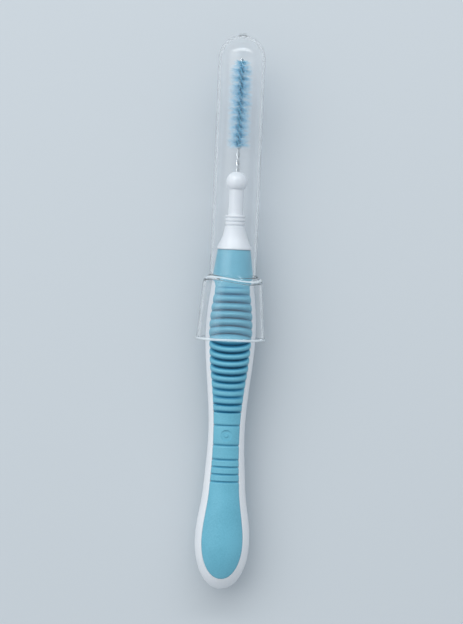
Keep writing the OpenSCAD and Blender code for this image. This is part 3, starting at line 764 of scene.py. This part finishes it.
class Nodes:
    """A node tree with short calls for making and joining its nodes."""

    def __init__(self, tree):
        self.tree = tree

    def add(self, kind, **settings):
        node = self.tree.nodes.new(kind)
        for name, value in settings.items():
            setattr(node, name, value)
        return node

    def join(self, source, target):
        self.tree.links.new(source, target)

    def feed(self, socket, value):
        """Joins another node's output to a socket, or sets the socket to a plain value."""
        if isinstance(value, bpy.types.NodeSocket):
            self.join(value, socket)
        else:
            socket.default_value = value

    def math(self, operation, a, b=0.0, clamp=False):
        node = self.add("ShaderNodeMath", operation=operation, use_clamp=clamp)
        self.feed(node.inputs[0], a)
        self.feed(node.inputs[1], b)
        return node.outputs["Value"]

    def ranged(self, mask, low, span):
        """A value that starts from low and grows by the span where the mask is full."""
        return self.math("ADD", self.math("MULTIPLY", mask, span), low)

    def mix(self, factor, a, b):
        node = self.add("ShaderNodeMix", data_type="RGBA")
        factor_in, a_in, b_in = 0, 6, 7
        self.feed(node.inputs[factor_in], factor)
        self.feed(node.inputs[a_in], a)
        self.feed(node.inputs[b_in], b)
        colour_out = 2
        return node.outputs[colour_out]

    def noise(self, scale, place, detail=2.0, roughness=0.5):
        node = self.add("ShaderNodeTexNoise")
        self.feed(node.inputs["Scale"], scale)
        self.feed(node.inputs["Detail"], detail)
        self.feed(node.inputs["Roughness"], roughness)
        self.join(place, node.inputs["Vector"])
        return node.outputs["Fac"]

    def object_place(self):
        return self.add("ShaderNodeTexCoord").outputs["Object"]


def moulded_group():
    """Colour, roughness and grain of a moulded surface, shared by the plastic and the rubber."""
    group = bpy.data.node_groups.new("moulded_surface", "ShaderNodeTree")
    face = group.interface
    for name, kind, value in (
        ("Colour", "NodeSocketColor", (0.8, 0.8, 0.8, 1)),
        ("Shade", "NodeSocketColor", (0.6, 0.6, 0.6, 1)),
        ("Cloud size", "NodeSocketFloat", 200.0),
        ("Grain size", "NodeSocketFloat", 4000.0),
        ("Roughness", "NodeSocketFloat", 0.4),
        ("Roughness spread", "NodeSocketFloat", 0.1),
        ("Grain depth", "NodeSocketFloat", 0.2),
    ):
        face.new_socket(name, in_out="INPUT", socket_type=kind).default_value = value
    for name, kind in (("Colour", "Color"), ("Roughness", "Float"), ("Normal", "Vector")):
        face.new_socket(name, in_out="OUTPUT", socket_type="NodeSocket" + kind)
    n = Nodes(group)
    given, result = n.add("NodeGroupInput"), n.add("NodeGroupOutput")
    place = n.object_place()
    clouds = n.noise(given.outputs["Cloud size"], place, detail=3)
    grain = n.noise(given.outputs["Grain size"], place, detail=4)
    patches = n.math("MULTIPLY", n.math("SUBTRACT", clouds, PATCH_FROM), PATCH_GAIN)
    specks = n.math("MULTIPLY", n.math("SUBTRACT", grain, SPECK_FROM), SPECK_GAIN)
    shade = n.math("ADD", patches, specks, clamp=True)
    n.join(n.mix(shade, given.outputs["Colour"], given.outputs["Shade"]), result.inputs["Colour"])
    off_middle = n.math("SUBTRACT", grain, 0.5)
    spread = n.math("MULTIPLY", off_middle, given.outputs["Roughness spread"])
    n.join(n.math("ADD", given.outputs["Roughness"], spread, clamp=True), result.inputs["Roughness"])
    bump = n.add("ShaderNodeBump")
    bump.inputs["Distance"].default_value = GRAIN_HEIGHT
    n.join(given.outputs["Grain depth"], bump.inputs["Strength"])
    n.join(grain, bump.inputs["Height"])
    n.join(bump.outputs["Normal"], result.inputs["Normal"])
    return group


def new_material(name):
    """A new material with its nodes, Principled shader and output."""
    made = bpy.data.materials.new(name)
    made.use_nodes = True
    nodes = made.node_tree.nodes
    nodes.clear()
    n = Nodes(made.node_tree)
    shader, output = n.add("ShaderNodeBsdfPrincipled"), n.add("ShaderNodeOutputMaterial")
    n.join(shader.outputs[0], output.inputs["Surface"])
    return made, n, shader


def put(node, **values):
    """Sets a node's inputs: Subsurface_Weight stands for the socket Subsurface Weight."""
    for name, value in values.items():
        node.inputs[name.replace("_", " ")].default_value = value


def use_group(n, shader, group, **values):
    """Places the shared group in a material with its own values, and joins it to the shader."""
    node = n.add("ShaderNodeGroup", node_tree=group)
    put(node, **values)
    for name, socket in (("Colour", "Base Color"), ("Roughness", "Roughness"), ("Normal", "Normal")):
        n.join(node.outputs[name], shader.inputs[socket])
    return node


def white_plastic(group):
    """Hard polished plastic of the core."""
    made, n, shader = new_material("white_plastic")
    use_group(
        n, shader, group, Colour=WHITE, Shade=WHITE_SHADE, Cloud_size=220.0, Grain_size=5200.0,
        Roughness=0.3, Roughness_spread=0.12, Grain_depth=0.10,
    )
    put(shader, IOR=1.49, Subsurface_Weight=0.25, Subsurface_Radius=(1.0, 0.95, 0.9), Subsurface_Scale=0.0006)
    return made


def soft_rubber(group):
    """Matt soft skin of the grip, with shade painted into its grooves."""
    made, n, shader = new_material("soft_rubber")
    skin = use_group(
        n, shader, group, Colour=CYAN, Shade=CYAN_SHADE, Cloud_size=260.0, Grain_size=4300.0,
        Roughness=0.5, Roughness_spread=0.24, Grain_depth=0.6,
    )
    groove = n.add("ShaderNodeAttribute", attribute_name="groove").outputs["Fac"]
    # Painted shade: the groove mask darkens the skin towards a deep cyan in the grooves
    n.join(n.mix(groove, skin.outputs["Colour"], PAINTED_GROOVE_SHADE), shader.inputs["Base Color"])
    put(shader, IOR=1.47, Sheen_Weight=0.08, Sheen_Roughness=0.5, Coat_Weight=0.05, Coat_Roughness=0.25)
    return made


def drawn_steel():
    """Bare drawn wire, which takes the filaments' colour and their painted shade inside the head, where they
    cover it.
    """
    made, n, shader = new_material("drawn_steel")
    stretch = n.add("ShaderNodeMapping")
    stretch.inputs["Scale"].default_value = DRAWN_STRETCH
    n.join(n.object_place(), stretch.inputs["Vector"])
    marks = n.noise(9000.0, stretch.outputs["Vector"], detail=3, roughness=0.6)
    n.join(n.ranged(marks, low=0.25, span=0.25), shader.inputs["Roughness"])
    bare = n.mix(marks, STEEL_LOW, STEEL_HIGH)
    head = n.add("ShaderNodeAttribute", attribute_name="head").outputs["Fac"]
    # Painted shade: inside the head the wire turns the filaments' deep colour and stops being metal
    n.join(n.mix(head, bare, FILAMENT_COLOUR_AND_SHADE), shader.inputs["Base Color"])
    n.join(n.math("SUBTRACT", 1.0, head, clamp=True), shader.inputs["Metallic"])
    bump = n.add("ShaderNodeBump")
    put(bump, Strength=0.2, Distance=GRAIN_HEIGHT)
    n.join(marks, bump.inputs["Height"])
    n.join(bump.outputs["Normal"], shader.inputs["Normal"])
    return made


def nylon():
    """Filaments with painted shade that makes them deep blue at the wire, where they crowd, and pale at their
    tips.
    """
    made, n, shader = new_material("nylon")
    reach = n.add("ShaderNodeAttribute", attribute_name="reach").outputs["Fac"]
    ramp = n.add("ShaderNodeValToRGB")
    elements = ramp.color_ramp.elements
    for position, colour in NYLON_AND_SHADE_STOPS[1:-1]:
        elements.new(position)
    for element, (position, colour) in zip(elements, NYLON_AND_SHADE_STOPS):
        element.position = position
        element.color = colour
    # Painted shade: the ramp darkens the filaments towards the wire
    n.join(reach, ramp.inputs["Fac"])
    tint = n.noise(2600.0, n.object_place())
    pale = n.math("MULTIPLY", tint, PALE_SHARE)
    n.join(n.mix(pale, ramp.outputs["Color"], NYLON_PALE), shader.inputs["Base Color"])
    n.join(n.ranged(tint, low=0.25, span=0.2), shader.inputs["Roughness"])
    put(shader, IOR=1.53, Subsurface_Weight=0.3, Subsurface_Radius=(0.6, 0.9, 1.0), Subsurface_Scale=0.0003)
    return made


def clear_plastic():
    """The cap's polished walls, with a faint haze and ripple from the mould."""
    made, n, shader = new_material("clear_plastic")
    place = n.object_place()
    haze = n.noise(420.0, place, detail=3)
    n.join(n.ranged(haze, low=0.02, span=0.05), shader.inputs["Roughness"])
    ripple = n.noise(150.0, place, detail=1, roughness=0.3)
    bump = n.add("ShaderNodeBump")
    put(bump, Strength=0.2, Distance=RIPPLE_HEIGHT)
    n.join(ripple, bump.inputs["Height"])
    n.join(bump.outputs["Normal"], shader.inputs["Normal"])
    put(shader, Base_Color=CAP_TINT, IOR=1.4, Transmission_Weight=0.98)
    return lit_through(made, n, shader)


def frost_and_highlight_plastic():
    """The cap's edges: frost, and a whitish painted highlight that stands for the light running inside its
    clear walls and gathering there.
    """
    made, n, shader = new_material("frost_and_highlight_plastic")
    grain = n.noise(5200.0, n.object_place(), detail=3)
    n.join(n.ranged(grain, low=0.25, span=0.2), shader.inputs["Roughness"])
    # Painted highlight: a near-white colour, with only part of the light let through, makes the edges bright
    n.join(n.mix(grain, EDGE_HIGHLIGHT_LOW, EDGE_HIGHLIGHT_HIGH), shader.inputs["Base Color"])
    put(shader, IOR=1.49, Transmission_Weight=0.4)
    return lit_through(made, n, shader)


def lit_through(made, n, shader):
    """Lets the lamps shine through a clear material, so that what it holds is lit."""
    output = next(node for node in made.node_tree.nodes if node.type == "OUTPUT_MATERIAL")
    paths, clear = n.add("ShaderNodeLightPath"), n.add("ShaderNodeBsdfTransparent")
    clear.inputs["Color"].default_value = CAP_SHADOW
    surface = shader.outputs[0]
    for rays in ("Is Shadow Ray", "Is Diffuse Ray"):
        mix = n.add("ShaderNodeMixShader")
        n.join(paths.outputs[rays], mix.inputs[0])
        n.join(surface, mix.inputs[1])
        n.join(clear.outputs[0], mix.inputs[2])
        surface = mix.outputs[0]
    n.join(surface, output.inputs["Surface"])
    return made


# Studio

def pale_floor():
    """The plain floor that the brush lies on."""
    bm = bmesh.new()
    bmesh.ops.create_grid(bm, x_segments=1, y_segments=1, size=FLOOR_HALF)
    mesh = bpy.data.meshes.new("floor")
    bm.to_mesh(mesh)
    bm.free()
    made, n, shader = new_material("pale_floor")
    put(shader, Base_Color=FLOOR_COLOUR, Roughness=0.75, Specular_IOR_Level=0.25)
    mesh.materials.append(made)
    floor = bpy.data.objects.new("floor", mesh)
    bpy.context.scene.collection.objects.link(floor)


def soft_light(name, place, size, power, colour):
    """A panel of light that is brightest in its middle and fades to nothing at its edges."""
    lamp = bpy.data.lights.new(name, "AREA")
    lamp.shape = "RECTANGLE"
    lamp.size, lamp.size_y = size
    lamp.energy = power
    lamp.color = colour
    lamp.use_nodes = True
    n = Nodes(lamp.node_tree)
    across = n.add("ShaderNodeVectorMath", operation="SUBTRACT")
    n.join(n.add("ShaderNodeNewGeometry").outputs["Parametric"], across.inputs[0])
    across.inputs[1].default_value = PANEL_MIDDLE
    reach = n.add("ShaderNodeVectorMath", operation="LENGTH")
    n.join(across.outputs["Vector"], reach.inputs[0])
    near = n.math("SUBTRACT", 1.0, n.math("MULTIPLY", reach.outputs["Value"], 2.0), clamp=True)
    fade = n.math("MULTIPLY", n.math("SINE", n.math("MULTIPLY", near, math.pi / 2)), PANEL_GAIN)
    n.join(fade, lamp.node_tree.nodes["Emission"].inputs["Strength"])
    holder = bpy.data.objects.new(name, lamp)
    holder.location = place
    holder.rotation_mode = "QUATERNION"
    holder.rotation_quaternion = (-Vector(place)).to_track_quat("-Z", "Y")
    bpy.context.scene.collection.objects.link(holder)


def studio():
    """The floor, a broad key light, a strip above the dome and an even pale sky."""
    pale_floor()
    soft_light("key", place=(-0.60, 0.30, 0.70), size=(1.50, 1.50), power=4.6, colour=(1.0, 0.99, 0.97))
    soft_light("top_strip", place=(0.0, 0.50, 0.46), size=(1.80, 0.22), power=3.4, colour=(1.0, 1.0, 1.0))
    world = bpy.data.worlds.new("studio")
    world.use_nodes = True
    background = world.node_tree.nodes["Background"]
    put(background, Color=SKY_COLOUR, Strength=SKY_STRENGTH)
    bpy.context.scene.world = world
    bpy.context.scene.view_settings.view_transform = "Standard"


def camera():
    """Straight above the brush, as the photograph looks at it, with the brush leaning to the right."""
    lens = bpy.data.cameras.new("camera")
    # The picture stands upright, so the sensor's size goes along its height
    lens.sensor_width = SENSOR_MM
    lens.lens = SENSOR_MM * CAMERA_HEIGHT / (BRUSH_LENGTH / FILLED_SHARE)
    lens.clip_start, lens.clip_end = NEAR_CLIP, FAR_CLIP
    holder = bpy.data.objects.new("camera", lens)
    middle = (cad_box[0] + cad_box[1]) / 2
    holder.location = (middle.x, middle.y, CAMERA_HEIGHT)
    holder.rotation_euler = (0, 0, PHOTO_LEAN)
    bpy.context.scene.collection.objects.link(holder)
    bpy.context.scene.camera = holder


camera()
studio()
moulded = moulded_group()
core_moulding(white_plastic(moulded))
soft_grip(soft_rubber(moulded))
hairpin_wire(drawn_steel())
filaments(nylon())
travel_cap(clear_plastic(), frost_and_highlight_plastic())
